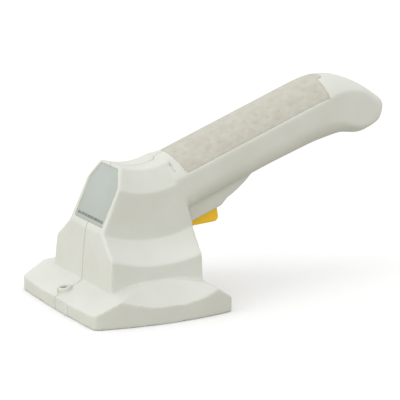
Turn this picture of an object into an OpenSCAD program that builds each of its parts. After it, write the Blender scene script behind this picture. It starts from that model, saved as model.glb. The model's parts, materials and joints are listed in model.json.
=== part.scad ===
// Cordless press-down bag heat sealer.
// Origin: centre of the base's underside. -Y is the panel side, +Y the handle, +Z up.

/* [Base] */
// Length of the base along the handle's direction
base_len = 84; // [80:1:90]
// Width of the base at its corners
base_w = 94; // [90:1:100]
// Height of the base's outer edge at the corners
edge_h = 7.5; // [6.5:0.5:8]
// How far each side of the base bows outwards
side_bow = 5.2; // [3:0.2:6]
// How far the front and rear edges bow outwards
end_bow = 1.4; // [0.6:0.2:2]

/* [Tower] */
// Width of the tower at its foot
tower_w = 70; // [68:1:72]
// Height of the axis that the tower's creases curve about
crease_z = 113; // [112:0.5:114]
// Distance along the handle from the origin to that axis
crease_y = 4; // [2:0.5:5]
// Wall thickness of both casings
wall = 2.2; // [1.8:0.1:2.4]

/* [Handle] */
// Upward slope of the handle
handle_slope = 21; // [19:0.5:23]
// Width of the handle
handle_w = 39; // [38:0.5:42]
// Length of the handle from the tower to its tip
handle_len = 141; // [139:1:146]
// Length of the grip pad
pad_len = 99; // [92:1:102]
// Thickness of the grip pad
pad_t = 2.5; // [2:0.25:3]

/* [Trigger] */
// Distance from the trigger pin to the lever's rounded tip
lever_arm = 33.5; // [33:0.5:34]
// Diameter of the trigger pin
pin_d = 4; // [3:0.5:4]

/* [Sealing bar] */
// Length of the heater bar
bar_len = 77; // [60:1:78]
// Width of the heater bar
bar_w = 11; // [8:0.5:11]
// Gap between the table and the bar at rest
bar_rest_z = 4.7; // [4:0.1:5]

/* [Battery] */
// Diameter of one cell
cell_d = 14.2; // [10:0.1:14.2]
// Length of one cell
cell_len = 50; // [44:0.5:50]

/* [Hidden] */
$fn = 48;

// Reach of a cutting block that is larger than the whole sealer
far = 300;

// Tower outline seen from the side: y and z of each bend, front then rear
crease_a = [-26.1, 32.5];
crease_b = [-24.8, 44.5];
roof_front = [-9.6, 79.2];
tower_foot_y = -26.6;
tower_rear = 29.2;
// Crease radii about the tower's axis, paired with the half width there
roof_r = 36.5;
shoulder_r = 48;
waist_r = 74;
hip_r = 85;
roof_hw = 12.2;
shoulder_hw = 19.8;
waist_hw = 21;
// The cove in each side of the base starts at the tower and ends near the edge
cove_in_r = 92;
cove_out_r = 103.3;
cove_out_x = 50.5;
buried_r = 130;
// Slope of the base's top in front of and behind the tower
foot_z = 15.2;
rear_foot_z = 16.6;
foot_arch = 3.8;

// Handle outline in its own frame: a runs along it, p is square to it
handle_root = [28.6, 66.8];
handle_start = -6;
handle_top = 16.5;
handle_bottom = -15.5;
crown_drop = 11;
handle_fillet = 12;
pad_start = 2;
heel_p = -25.5;
heel_a = 113;
heel_start = 93;
tip_p = -18;
nose_a = 99;
housing_hw = 10;

// Front panel face, between the waist and the roof
face_slope = atan2(roof_front[1] - crease_b[1], roof_front[0] - crease_b[0]);
panel_t = 1.4;

// Trigger, lever and pin
pivot = [33.5, 47];
trigger_hw = 6.5;
lever_t = 3;
lever_tip = [pivot[0] - lever_arm, pivot[1]];
tip_r = 2.6;
pin_bore = pin_d + 0.1;

// Sliding carriage
carriage_y = 0;
carriage_z = 20;
carriage_t = 4;
post_d = 4;
post_bore = post_d + 0.1;
post_top = 31;
posts = [[24, carriage_y - 13], [-24, carriage_y + 13]];
plate_t = 3;
seat_top = 6;
slot_margin = 2;

// Stack of the sealing bar, from the table upwards
cover_t = 0.25;
cover_rise = 4.4;
ribbon_t = 0.2;
ribbon_w = 4;
ribbon_rise = 6.6;
cushion_t = 2;
bar_t = 2.8;
ribbon_z = bar_rest_z + cover_t;
cushion_z = ribbon_z + ribbon_t;
bar_z = cushion_z + cushion_t;
bar_top = bar_z + bar_t;
lead_top = 40;
lead_x = 14;
lead_y = carriage_y + 8;

// Battery and screws
cell_gap = 0.8;
cell_a = 11;
screw_d = 2.8;
screw_head_d = 4.6;
counterbore = screw_head_d + 0.4;
boss_d = counterbore + 2;
screw_reach = 8;
corner_posts = [[38, -31], [-38, -31], [38, 33], [-38, 33]];
front_screw_y = -37.5;
front_slope = atan2(foot_z - edge_h, tower_foot_y + base_len / 2);

// Switch, charging socket and control board
switch_pin = [42.6, 57];
switch_pin_d = 1.9;
plunger_z = 51.3;
socket_p = -13;
socket_a = 123;
socket_len = 11.6;
socket_d = 8;
board_depth = 8;
board_t = 1.6;
board_holes = [-12.5, 12.5];
board_hole_s = 8;
light_x = 4;
light_s = 12;

// Position in the side view of a point (a, p) of the handle's frame
function side_point(a, p) = [
  handle_root[0] + a * cos(handle_slope) - p * sin(handle_slope),
  handle_root[1] + a * sin(handle_slope) + p * cos(handle_slope)];

casing_bosses = [[14, 56.2], [-20.8, 32], [24.2, 32.5], side_point(64, -12.2), side_point(107, -15.5)];

// Points of an arc from p to q that bulges to the left of its direction by bulge
function arc(p, q, bulge, steps = 8) =
  let (
    along = (q - p) / norm(q - p),
    out = [-along[1], along[0]] * sign(bulge),
    half_len = norm(q - p) / 2,
    r = (half_len * half_len + bulge * bulge) / (2 * abs(bulge)),
    centre = (p + q) / 2 - out * (r - abs(bulge)),
    half_angle = asin(half_len / r)
  )
  [for (i = [0:steps]) let (t = half_angle * (2 * i / steps - 1))
    centre + out * r * cos(t) + along * r * sin(t)];

// Catmull-Rom curve through a list of points
function curve_point(p, q, r, s, t) =
  (2 * q + (r - p) * t + (2 * p - 5 * q + 4 * r - s) * t * t + (3 * q - p - 3 * r + s) * t * t * t) / 2;
function smooth(points, steps = 4) =
  let (n = len(points))
  concat([for (i = [0:n - 2], j = [0:steps - 1])
    curve_point(points[max(i - 1, 0)], points[i], points[i + 1], points[min(i + 2, n - 1)], j / steps)],
    [points[n - 1]]);

// Ring of a swept lead around point i of its route
function direction(route, i) =
  let (d = route[min(i + 1, len(route) - 1)] - route[max(i - 1, 0)]) d / norm(d);
function ring(route, i, r, sides) =
  let (t = direction(route, i), s = cross(t, [0.31, 0.2, 0.93]), u = s / norm(s), v = cross(t, u))
  [for (k = [0:sides - 1]) route[i] + r * (u * cos(360 * k / sides) + v * sin(360 * k / sides))];

// Insulated lead along a smooth route
module lead(points, d = 1.6, sides = 8) {
  route = smooth(points);
  n = len(route);
  polyhedron(
    points = [for (i = [0:n - 1]) each ring(route, i, d / 2, sides)],
    faces = concat(
      [[for (k = [0:sides - 1]) k]],
      [for (i = [0:n - 2], k = [0:sides - 1]) let (m = (k + 1) % sides)
        [i * sides + k, (i + 1) * sides + k, (i + 1) * sides + m, i * sides + m]],
      [[for (k = [sides - 1:-1:0]) (n - 1) * sides + k]]));
}

// Outline in the side view (y, z), made solid from x0 to x1
module across(x0, x1) {
  translate([x0, 0, 0]) rotate([90, 0, 90]) linear_extrude(x1 - x0) children();
}

// Frame of the handle: +Y runs along it and +Z is square to it
module on_handle() {
  translate([0, handle_root[0], handle_root[1]]) rotate([handle_slope, 0, 0]) children();
}

// Frame of the front face: +Y runs up the face and +Z points out of it
module on_face() {
  translate([0, crease_b[0], crease_b[1]]) rotate([face_slope, 0, 0]) children();
}

// Frame of the front screw: +Z is square to the base's front slope
module on_front_slope() {
  z = edge_h + (front_screw_y + base_len / 2) * tan(front_slope);
  translate([0, front_screw_y, z]) rotate([front_slope, 0, 0]) children();
}

module cylinder_x(d, x0, x1) {
  translate([x0, 0, 0]) rotate([0, 90, 0]) cylinder(d = d, h = x1 - x0);
}

// Outlines. A positive inset gives the cavity inside the wall.

module base_outline(inset = 0) {
  hw = base_w / 2;
  hl = base_len / 2;
  offset(delta = -inset) offset(r = 2.5) offset(delta = -2.5)
    polygon(concat(
      arc([hw, -hl], [-hw, -hl], end_bow),
      arc([-hw, -hl], [-hw, hl], side_bow, 12),
      arc([-hw, hl], [hw, hl], end_bow),
      arc([hw, hl], [hw, -hl], side_bow, 12)));
}

module base_side(inset = 0) {
  offset(delta = -inset)
    polygon(concat(
      [[-far, -far], [-far, edge_h], [-base_len / 2 - 0.6, edge_h]],
      arc([tower_foot_y, foot_z], [tower_rear, rear_foot_z], foot_arch),
      [[base_len / 2 + 0.6, edge_h], [far, edge_h], [far, -far]]));
}

// Surfaces of revolution about the crease axis, given by half width at each radius
module about_crease_axis() {
  translate([0, crease_y, crease_z]) rotate([0, 90, 0]) rotate_extrude($fn = 96) children();
}

module cove_section(inset = 0) {
  hw = tower_w / 2;
  offset(delta = -inset)
    polygon([[cove_in_r, -hw], [cove_in_r, hw], [cove_out_r, cove_out_x],
      [cove_out_r + 1, 60], [buried_r, 60], [buried_r, -60],
      [cove_out_r + 1, -60], [cove_out_r, -cove_out_x]]);
}

module tower_section(inset = 0) {
  hw = tower_w / 2;
  offset(delta = -inset)
    polygon([[roof_r, -roof_hw], [roof_r, roof_hw], [shoulder_r, shoulder_hw], [waist_r, waist_hw],
      [hip_r, hw], [buried_r, hw], [buried_r, -hw], [hip_r, -hw], [waist_r, -waist_hw],
      [shoulder_r, -shoulder_hw]]);
}

module tower_side(inset = 0) {
  offset(delta = -inset)
    polygon([[tower_foot_y, -20], crease_a, crease_b, roof_front, [-7, 85], [19.5, 85], [24.2, 68.9],
      [31, 44.5], [tower_rear, 32.5], [tower_rear, -20]]);
}

module handle_section(inset = 0, bottom = handle_bottom) {
  hw = handle_w / 2;
  low = bottom + handle_fillet;
  fillet = [for (t = [0:15:90])
    [hw - handle_fillet + handle_fillet * cos(t), low - handle_fillet * sin(t)]];
  offset(delta = -inset)
    polygon(concat(
      arc([hw, handle_top - crown_drop], [-hw, handle_top - crown_drop], -crown_drop, 14),
      [for (i = [6:-1:0]) [-fillet[6 - i][0], fillet[6 - i][1]]],
      [for (i = [6:-1:0]) fillet[i]]));
}

module handle_side(inset = 0) {
  offset(delta = -inset)
    polygon(concat(
      [[-25, handle_top], [nose_a, handle_top - 0.5]],
      arc([nose_a + 3, handle_top - 0.9], [handle_len, tip_p + 3], 5.5),
      arc([handle_len, tip_p], [handle_len - 9, heel_p], 2),
      [[heel_a, heel_p], [heel_a - 9, -20], [heel_a - 30, -16.4], [heel_a - 60, handle_bottom],
       [-25, handle_bottom]]));
}

module handle_plan(inset = 0) {
  hw = handle_w / 2;
  nose = 90;
  offset(delta = -inset)
    polygon(concat([[hw, -30]],
      [for (t = [0:10:180]) [hw * cos(t), nose + (handle_len + 1 - nose) * sin(t)]],
      [[-hw, -30]]));
}

module housing_side(inset = 0) {
  offset(delta = -inset)
    polygon(concat(
      [[-14, -10], [-14, -24.5], [19, -24.5]],
      arc([24, -22], [46, -14], -1.2),
      [[46, -10]]));
}

// Whole outer shape, or the cavity inside it

// Section of the handle, carried along it from start to past its tip
module along_handle(start, length = handle_len + 30) {
  translate([0, start, 0]) mirror([0, 1, 0]) rotate([90, 0, 0]) linear_extrude(length) children();
}

module handle_solid(inset = 0, start = handle_start) {
  on_handle() intersection() {
    union() {
      along_handle(start) handle_section(inset);
      along_handle(heel_start + inset) handle_section(inset, heel_p - 0.5);
    }
    across(-30, 30) handle_side(inset);
    translate([0, 0, -40]) linear_extrude(80) handle_plan(inset);
  }
}

module base_solid(inset = 0) {
  intersection() {
    translate([0, 0, inset > 0 ? -1 : 0]) linear_extrude(30) base_outline(inset);
    across(-60, 60) base_side(inset);
    about_crease_axis() cove_section(inset);
  }
}

module tower_solid(inset = 0) {
  intersection() {
    across(-60, 60) tower_side(inset);
    about_crease_axis() tower_section(inset);
    translate([-60, -60, inset > 0 ? -1 : 0]) cube([120, 120, 100]);
  }
}

module housing_solid(inset = 0) {
  on_handle() across(-housing_hw + inset, housing_hw - inset) housing_side(inset);
}

module outer_shape() {
  base_solid();
  tower_solid();
  handle_solid();
  housing_solid();
}

module cavity() {
  base_solid(wall);
  tower_solid(wall);
  // The crown is thicker than the sides by the depth of the grip pad
  intersection() {
    handle_solid(wall, handle_start - 16);
    translate([0, pad_t * sin(handle_slope), -pad_t * cos(handle_slope)])
      handle_solid(wall, handle_start - 16);
  }
  housing_solid(wall);
}

// Grip pad: the crown of the handle between its two ridges
module pad_volume(gap = 0) {
  on_handle() intersection() {
    along_handle(pad_start - gap, pad_len + 2 * gap) difference() {
      intersection() {
        handle_section();
        translate([-30, handle_top - crown_drop - 1.5 - gap]) square([60, 30]);
      }
      offset(delta = -pad_t - gap) handle_section();
    }
    across(-30, 30) handle_side();
  }
}

module panel_outline(gap = 0) {
  offset(delta = gap)
    polygon([[-17.5, 3.6], [17.5, 3.6], [17.7, 26.7], [10.6, 36.2], [-10.6, 36.2], [-17.7, 26.7]]);
}

module panel_volume(gap = 0) {
  on_face() translate([0, 0, -panel_t - gap]) linear_extrude(panel_t + gap + 0.01) panel_outline(gap);
}

module label_volume(gap = 0) {
  translate([2 - gap, -base_len / 2 - 0.9, 1.2 - gap]) cube([14 + 2 * gap, 0.5 + gap, 5.4 + 2 * gap]);
}

// Opening in the housing's underside that the trigger swings through
module trigger_opening() {
  across(-trigger_hw - 0.5, trigger_hw + 0.5)
    polygon([[30.4, 38.8], [58, 38.8], [58, 50.5], [53, 58], [26, 52.5], [26, 43], [28, 41.4],
      [30.4, 41]]);
}

// Cylinders across the casing at every casing screw
module screw_row(d, x0, x1) {
  for (b = casing_bosses) translate([0, b[0], b[1]]) cylinder_x(d, x0, x1);
}

// Ribs and bosses inside the casings, trimmed to the outer shape
module inner_features() {
  screw_row(boss_d, -60, 60);
  // Bosses for the trigger pin
  translate([0, pivot[0], pivot[1]]) {
    cylinder_x(pin_d + 3, trigger_hw + 0.5, housing_hw);
    cylinder_x(pin_d + 3, -housing_hw, -trigger_hw - 0.5);
  }
  // Pin and shoulders that hold the microswitch
  translate([0, switch_pin[0], switch_pin[1]]) {
    cylinder_x(switch_pin_d, -housing_hw, housing_hw);
    for (s = [-1, 1]) cylinder_x(4.6, s > 0 ? 3 : -housing_hw, s > 0 ? housing_hw : -3);
  }
  // Collar around the charging socket
  on_handle() translate([0, socket_a + 1, socket_p]) rotate([-90, 0, 0]) cylinder(d = 11.5, h = 20);
  // Pillars that the control board is screwed to
  on_face() for (x = board_holes) translate([x, board_hole_s, -board_depth + board_t + 0.05])
    cylinder(d = 5, h = board_depth - board_t);
  // Corner posts that the base screws bite into
  for (c = corner_posts) translate([c[0], c[1], plate_t + 0.05]) cylinder(d = 7, h = 14);
  // Shelves that anchor the upper ends of the heater leads
  for (s = [-1, 1]) translate([s > 0 ? 11 : -31, lead_y - 3, lead_top]) cube([20, 6, 2]);
}

// One half of the casing; side is 1 for the right and -1 for the left
module casing(side) {
  difference() {
    intersection() {
      union() {
        difference() {
          outer_shape();
          cavity();
        }
        intersection() {
          outer_shape();
          inner_features();
        }
        on_front_slope() translate([0, 0, -1]) cylinder(d = 8.3, h = 2.4);
      }
      translate([side > 0 ? 0 : -100, -100, -1]) cube([100, 300, 300]);
    }
    pad_volume(0.1);
    panel_volume(0.1);
    label_volume(0.1);
    trigger_opening();
    on_front_slope() translate([0, 0, -20]) cylinder(d = 3, h = 40);
    on_front_slope() translate([0, 0, -0.9]) cylinder(d = 4.8, h = 10);
    translate([0, pivot[0], pivot[1]]) cylinder_x(pin_d + 0.04, -9, 9);
    for (c = corner_posts) translate([c[0], c[1], -1]) cylinder(d = screw_d + 0.1, h = 11);
    if (side > 0) screw_row(screw_d + 0.1, -1, screw_reach + 0.5);
    if (side < 0) {
      screw_row(screw_d + 0.4, -screw_reach - 1, 1);
      screw_row(counterbore, -60, -screw_reach);
    }
    // Bore for the charging socket in the handle's end
    on_handle() translate([0, socket_a - 7, socket_p]) rotate([-90, 0, 0])
      cylinder(d = socket_d + 0.1, h = 40);
    // Pilot holes of the board screws and windows for the two lights
    on_face() {
      for (x = board_holes) translate([x, board_hole_s, -board_depth]) cylinder(d = 2.3, h = 4.6);
      for (x = [-light_x, light_x]) translate([x, light_s, -4]) cylinder(d = 3.4, h = 6);
    }
  }
}

module right_casing() {
  color("#E3E4DD") casing(1);
}

module left_casing() {
  color("#E3E4DD") casing(-1);
}

module front_panel() {
  color("#C1C9C3") panel_volume();
}

module grip_pad() {
  color("#CFCBBF") pad_volume();
}

module edge_label() {
  color("#EEF0EF") label_volume();
}

module base_plate() {
  slot_l = bar_len + 2 * slot_margin;
  slot_w = bar_w + 2 * slot_margin;
  color("#D9DAD2") difference() {
    union() {
      linear_extrude(plate_t) base_outline(wall + 0.2);
      for (p = posts) translate([p[0], p[1], 0]) cylinder(d = 8, h = seat_top);
      intersection() {
        on_front_slope() translate([0, 0, -20]) cylinder(d = 7, h = 20 - wall - 0.6);
        translate([-10, -base_len / 2 + 1.5, 0]) cube([20, 20, 20]);
      }
    }
    translate([-slot_l / 2, carriage_y - slot_w / 2, -1]) cube([slot_l, slot_w, 10]);
    for (p = posts) translate([p[0], p[1], 1]) cylinder(d = post_d + 0.04, h = 10);
    for (c = corner_posts) translate([c[0], c[1], -1]) cylinder(d = screw_d + 0.4, h = 10);
    for (c = corner_posts) translate([c[0], c[1], -1]) cylinder(d = 6, h = 2.2);
    on_front_slope() translate([0, 0, -9]) cylinder(d = screw_d + 0.1, h = 10);
  }
}

// Pan-head screw with a cross recess, head down at the origin and the shank along +Z
module screw(length, head_d = 5.4, head_h = 1.9) {
  difference() {
    union() {
      translate([0, 0, -head_h]) cylinder(d = head_d, h = head_h);
      cylinder(d = screw_d, h = length);
    }
    for (a = [0, 90]) rotate([0, 0, a]) translate([-head_d / 3, -0.4, -head_h - 1])
      cube([head_d / 1.5, 0.8, 2]);
  }
}

module front_screw() {
  color("#6A6558") on_front_slope() translate([0, 0, -0.9]) rotate([180, 0, 0]) screw(7.5, 4.6, 0.8);
}

module casing_screws() {
  color("#8C8C88") for (b = casing_bosses)
    translate([-screw_reach, b[0], b[1]]) rotate([0, 90, 0]) screw(2 * screw_reach - 0.5, screw_head_d, 2);
}

module base_screws() {
  color("#8C8C88") for (c = corner_posts) translate([c[0], c[1], 1.2]) screw(8, 5.4, 1);
}

module guide_posts() {
  color("#B9BCC0") for (p = posts) translate([p[0], p[1], 1]) cylinder(d = post_d, h = post_top - 1);
}

module trigger_pin() {
  color("#B9BCC0") translate([0, pivot[0], pivot[1]]) cylinder_x(pin_d, -8.9, 8.9);
}

// Squeeze trigger: a wedge below the housing with its hub on the pin
module trigger() {
  color("#DFAC28") difference() {
    across(-trigger_hw, trigger_hw) difference() {
      union() {
        polygon(concat([[31.5, 39.2], [52.4, 40.8]],
          arc([52.4, 40.8], [55.2, 43.6], -0.8, 6),
          [[54.3, 48.5], [52, 52], [42, 51], [36, 51], [31.5, 50]]));
        translate(pivot) circle(r = 5);
      }
      translate(pivot) circle(d = pin_bore);
    }
    // Pocket that the steel lever is moulded into
    across(-lever_t / 2, lever_t / 2) lever_outline();
    // Relief for the return spring beside the hub
    translate([2.6, pivot[0], pivot[1]]) cylinder_x(9.6, 0, 3.4);
  }
}

module lever_outline() {
  translate(pivot) circle(r = 4);
  translate(lever_tip) circle(r = tip_r);
  translate([lever_tip[0], pivot[1] - 1.6]) square([lever_arm + 12, 3.2]);
}

module push_lever() {
  color("#A9ACB0") across(-lever_t / 2, lever_t / 2) difference() {
    lever_outline();
    translate(pivot) circle(d = pin_bore);
  }
}

// Torsion spring around the pin, inside the hub's relief
module trigger_spring() {
  color("#9A9DA1") translate([2.8, pivot[0], pivot[1]]) difference() {
    cylinder_x(7.6, 0, 3);
    cylinder_x(6, -1, 4);
  }
}

module microswitch() {
  color("#2B2B2D") difference() {
    translate([-2.9, 34, 54]) cube([5.8, 11, 5.6]);
    translate([-1.7, 38.1, 53]) cube([3.4, 1.6, 4]);
    translate([0, switch_pin[0], switch_pin[1]]) cylinder_x(switch_pin_d + 0.1, -4, 4);
  }
}

module switch_plunger() {
  color("#B5322B") translate([-1.5, 38.3, plunger_z]) cube([3, 1.2, 4.4]);
}

// Carriage: guided plate, web down to the bar and forked stem up to the lever
module press_carriage() {
  color("#3A3C3E") difference() {
    union() {
      translate([-30, carriage_y - 17, carriage_z]) cube([60, 34, carriage_t]);
      translate([-30, carriage_y - 3, bar_top]) cube([60, 6, carriage_z - bar_top]);
      translate([-6, carriage_y - 4, carriage_z]) cube([12, 8, 33]);
      for (p = posts) translate([p[0], p[1], carriage_z]) cylinder(d = 9, h = 8);
    }
    for (p = posts) translate([p[0], p[1], carriage_z - 1]) cylinder(d = post_bore, h = 20);
    // Slot for the lever's tip, open towards the front and the rear
    translate([-2.2, carriage_y - 5, pivot[1] - tip_r - 0.1]) cube([4.4, 10, 2 * tip_r + 0.2]);
  }
}

module bar_block(z, h, w = bar_w) {
  translate([-bar_len / 2, carriage_y - w / 2, z]) cube([bar_len, w, h]);
}

module heater_bar() {
  color("#C4C7CA") bar_block(bar_z, bar_t);
}

module silicone_cushion() {
  color("#B4552E") bar_block(cushion_z, cushion_t);
}

// Flat resistance ribbon with both ends folded up to the terminals
module heating_ribbon() {
  color("#8E8A84") {
    translate([-bar_len / 2 - ribbon_t, carriage_y - ribbon_w / 2, ribbon_z])
      cube([bar_len + 2 * ribbon_t, ribbon_w, ribbon_t]);
    for (x = [bar_len / 2, -bar_len / 2 - ribbon_t]) translate([x, carriage_y - ribbon_w / 2, ribbon_z])
      cube([ribbon_t, ribbon_w, ribbon_rise]);
  }
}

// Non-stick cover under the ribbon, folded up along both sides of the bar
module release_cover() {
  color("#A8794A") difference() {
    translate([-bar_len / 2, carriage_y - bar_w / 2 - cover_t, bar_rest_z])
      cube([bar_len, bar_w + 2 * cover_t, cover_rise]);
    translate([-bar_len, carriage_y - bar_w / 2, ribbon_z]) cube([2 * bar_len, bar_w, 10]);
  }
}

module terminal_blocks() {
  color("#C9A54A") for (s = [-1, 1]) difference() {
    translate([s > 0 ? bar_len / 2 - 6 : -bar_len / 2, carriage_y - 4, bar_top]) cube([6, 8, 2.4]);
    translate([s * (bar_len / 2 - 3), carriage_y, bar_top - 1]) cylinder(d = 2.6, h = 10);
  }
}

module terminal_screws() {
  color("#B9BCC0") for (s = [-1, 1]) translate([s * (bar_len / 2 - 3), carriage_y, bar_top]) {
    cylinder(d = 2.5, h = 2.4);
    translate([0, 0, 2.4]) cylinder(d = 4.4, h = 1);
  }
}

module thermal_cutout() {
  color("#E8E3D4") translate([6, carriage_y + 3, bar_top]) cube([8, 2.5, 3]);
}

module spring_tube(d, wire, h) {
  difference() {
    cylinder(d = d, h = h);
    translate([0, 0, -1]) cylinder(d = d - 2 * wire, h = h + 2);
  }
}

module return_springs() {
  color("#9A9DA1") for (p = posts) translate([p[0], p[1], seat_top + 0.1])
    spring_tube(7, 0.9, carriage_z - seat_top - 0.2);
}

// Coiled leads from the carriage up to their anchors, which stretch with it
module heater_leads() {
  z0 = carriage_z + carriage_t + 0.1;
  color("#8F2F28") for (s = [-1, 1]) translate([s * lead_x, lead_y, z0])
    spring_tube(4, 0.9, lead_top - 0.1 - z0);
}

// Control electronics behind the front panel
module on_board() {
  on_face() translate([0, 0, -board_depth]) children();
}

module control_board() {
  color("#2F6B3F") on_board() linear_extrude(board_t) difference() {
    translate([-15, 5]) square([30, 24]);
    for (x = board_holes) translate([x, board_hole_s]) circle(d = 2.4);
  }
}

module timer_chip() {
  color("#232325") on_board() translate([-4, 17, -1.6]) cube([5, 6, 1.6]);
}

module heater_transistor() {
  color("#2A2A2C") on_board() translate([5.5, 17, -2.4]) cube([6.5, 6.2, 2.4]);
}

module capacitors() {
  color("#3B4B7A") on_board() for (x = [-11.5, -7]) translate([x, 14, -5]) cylinder(d = 4, h = 5);
}

module buzzer() {
  color("#1E1E20") on_board() translate([7, 11.5, -4]) cylinder(d = 8.4, h = 4);
}

module indicator_leds() {
  color("#9FC7A2") on_board() for (x = [-light_x, light_x]) translate([x, light_s, board_t]) {
    cylinder(d = 3, h = 3);
    translate([0, 0, 3]) cylinder(d1 = 3, d2 = 1.6, h = 0.9);
  }
}

module board_connector() {
  color("#EDE9DC") on_board() translate([-6, 7.5, -4]) cube([8, 4, 4]);
}

module board_screws() {
  color("#B9BCC0") on_board() for (x = board_holes) translate([x, board_hole_s, 0]) {
    translate([0, 0, -1.2]) cylinder(d = 3.6, h = 1.2);
    cylinder(d = 2.2, h = 4.5);
  }
}

// Four cells, two side by side and two in line, in an open cradle
module cell_places() {
  for (x = [-1, 1], i = [0, 1])
    translate([x * (cell_d / 2 + 0.25), cell_a + i * (cell_len + cell_gap), 0])
      rotate([-90, 0, 0]) children();
}

module battery_cells() {
  color("#3F6F9E") on_handle() cell_places() {
    cylinder(d = cell_d, h = cell_len - 1);
    translate([0, 0, cell_len - 1]) cylinder(d = 5, h = 1);
  }
}

module battery_cradle() {
  reach = 2 * cell_len + cell_gap;
  hw = 14.6;
  end_t = 1.2;
  color("#4A4C4E") on_handle() {
    difference() {
      translate([-hw, cell_a, -8.5]) cube([2 * hw, reach, 4.5]);
      for (x = [-1, 1]) translate([x * (cell_d / 2 + 0.25), 0, 0]) rotate([-90, 0, 0])
        cylinder(d = cell_d + 0.2, h = 200);
    }
    // End walls behind the contacts, with a floor that joins each to the tray
    for (a = [cell_a - 0.6 - end_t, cell_a + reach + 0.6]) translate([-hw, a, -8.5])
      cube([2 * hw, end_t, 11]);
    translate([-hw, cell_a - 0.6 - end_t, -8.5]) cube([2 * hw, reach + 1.2 + 2 * end_t, 1]);
    // Feet on the floor of the handle
    for (a = [51, 88]) translate([-8, a, -13.2]) cube([16, 3, 5]);
  }
}

module contact_plate(a) {
  on_handle() for (x = [-1, 1]) translate([x * 7.35 - 6, a, -6]) cube([12, 0.5, 10]);
}

module front_contacts() {
  color("#D0CFC8") contact_plate(cell_a - 0.6);
}

module rear_contacts() {
  color("#D0CFC8") contact_plate(cell_a + 2 * cell_len + cell_gap + 0.1);
}

module charge_board() {
  color("#2F6B3F") on_handle() translate([-7, 115, -23.2]) cube([14, 9, 1.4]);
}

module charging_socket() {
  color("#2B2B2D") on_handle() translate([0, socket_a, socket_p]) rotate([-90, 0, 0]) {
    difference() {
      cylinder(d = socket_d, h = socket_len);
      translate([0, 0, 2.5]) cylinder(d = 5.6, h = 20);
    }
    translate([0, 0, 2.5]) cylinder(d = 1.9, h = 7);
  }
}

module battery_leads() {
  color("#B3332C") for (s = [-1, 1])
    lead([[s * 7, 35, 69.5], [s * 7.5, 31, 67.5], [s * 7.5, 24, 66.5], [s * 7, 12, 66],
      [s * 4, 1, 63], [s * 1.5 - 2, -6.6, 58]]);
}

module switch_leads() {
  color("#6E7378") for (s = [-1, 1])
    lead([[s * 1.5, 37, 60.3], [s * 2, 33, 62.8], [s * 3.2, 22, 62.8], [s * 2.6, 8, 61.8],
      [s * 1.5 - 2, -7, 56]], 1.2);
}

module charge_leads() {
  color("#8A3A33") on_handle() for (s = [-1, 1])
    lead([[s * 4, 120, -21.2], [s * 4.5, 119, -17], [s * 5.5, 117, -9], [s * 7, 114.9, -3]], 1.2);
}

right_casing();
left_casing();
front_panel();
grip_pad();
base_plate();
edge_label();
front_screw();
casing_screws();
base_screws();
guide_posts();
trigger_pin();
control_board();
timer_chip();
heater_transistor();
capacitors();
buzzer();
indicator_leds();
board_connector();
board_screws();
microswitch();
switch_plunger();
battery_cradle();
battery_cells();
front_contacts();
rear_contacts();
charge_board();
charging_socket();
battery_leads();
switch_leads();
charge_leads();
trigger();
push_lever();
trigger_spring();
press_carriage();
heater_bar();
silicone_cushion();
heating_ribbon();
release_cover();
terminal_blocks();
terminal_screws();
thermal_cutout();
return_springs();
heater_leads();
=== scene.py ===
import bmesh
import bpy
import json
import math
import numpy as np
from functools import reduce
from mathutils import Matrix, Vector


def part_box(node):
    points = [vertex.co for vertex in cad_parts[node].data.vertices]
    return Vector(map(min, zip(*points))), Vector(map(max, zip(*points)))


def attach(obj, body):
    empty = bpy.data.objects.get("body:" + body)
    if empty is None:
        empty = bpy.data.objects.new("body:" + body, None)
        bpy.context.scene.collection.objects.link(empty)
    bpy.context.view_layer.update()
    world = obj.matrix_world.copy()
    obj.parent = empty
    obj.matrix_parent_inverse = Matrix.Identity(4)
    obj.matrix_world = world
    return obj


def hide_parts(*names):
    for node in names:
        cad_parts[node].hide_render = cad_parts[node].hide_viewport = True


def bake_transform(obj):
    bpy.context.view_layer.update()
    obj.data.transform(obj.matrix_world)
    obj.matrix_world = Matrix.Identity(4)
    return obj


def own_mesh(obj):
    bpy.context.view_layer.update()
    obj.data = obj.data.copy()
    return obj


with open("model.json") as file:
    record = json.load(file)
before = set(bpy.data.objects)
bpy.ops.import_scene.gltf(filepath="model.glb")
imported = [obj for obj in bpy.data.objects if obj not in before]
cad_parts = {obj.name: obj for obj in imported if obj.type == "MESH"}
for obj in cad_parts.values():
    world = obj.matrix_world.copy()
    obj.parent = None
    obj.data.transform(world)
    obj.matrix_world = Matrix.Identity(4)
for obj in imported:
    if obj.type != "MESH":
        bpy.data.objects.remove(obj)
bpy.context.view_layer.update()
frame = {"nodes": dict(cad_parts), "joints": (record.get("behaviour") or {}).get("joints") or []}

MM = 0.001
joints = {joint["name"]: joint for joint in frame["joints"]}


def srgb(code):
    """Linear colour of a hex sRGB code."""
    parts = [int(code[i:i + 2], 16) / 255 for i in (1, 3, 5)]
    return tuple(c / 12.92 if c <= 0.04045 else ((c + 0.055) / 1.055) ** 2.4 for c in parts) + (1,)


def set_inputs(tree, node, **links):
    """Sets a node's inputs, by name or as i and a number, to values or other sockets."""
    for name, value in links.items():
        key = int(name[1:]) if name[0] == "i" and name[1:].isdigit() else name.replace("_", " ")
        socket = node.inputs[key]
        if isinstance(value, bpy.types.NodeSocket):
            tree.links.new(value, socket)
        else:
            socket.default_value = value


def add_node(tree, kind, settings=None, **links):
    """Adds a node. Settings are its properties; links are its inputs."""
    node = tree.nodes.new(kind)
    for name, value in (settings or {}).items():
        setattr(node, name, value)
    set_inputs(tree, node, **links)
    return node


# ---- Camera, floor and studio light ----

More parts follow.
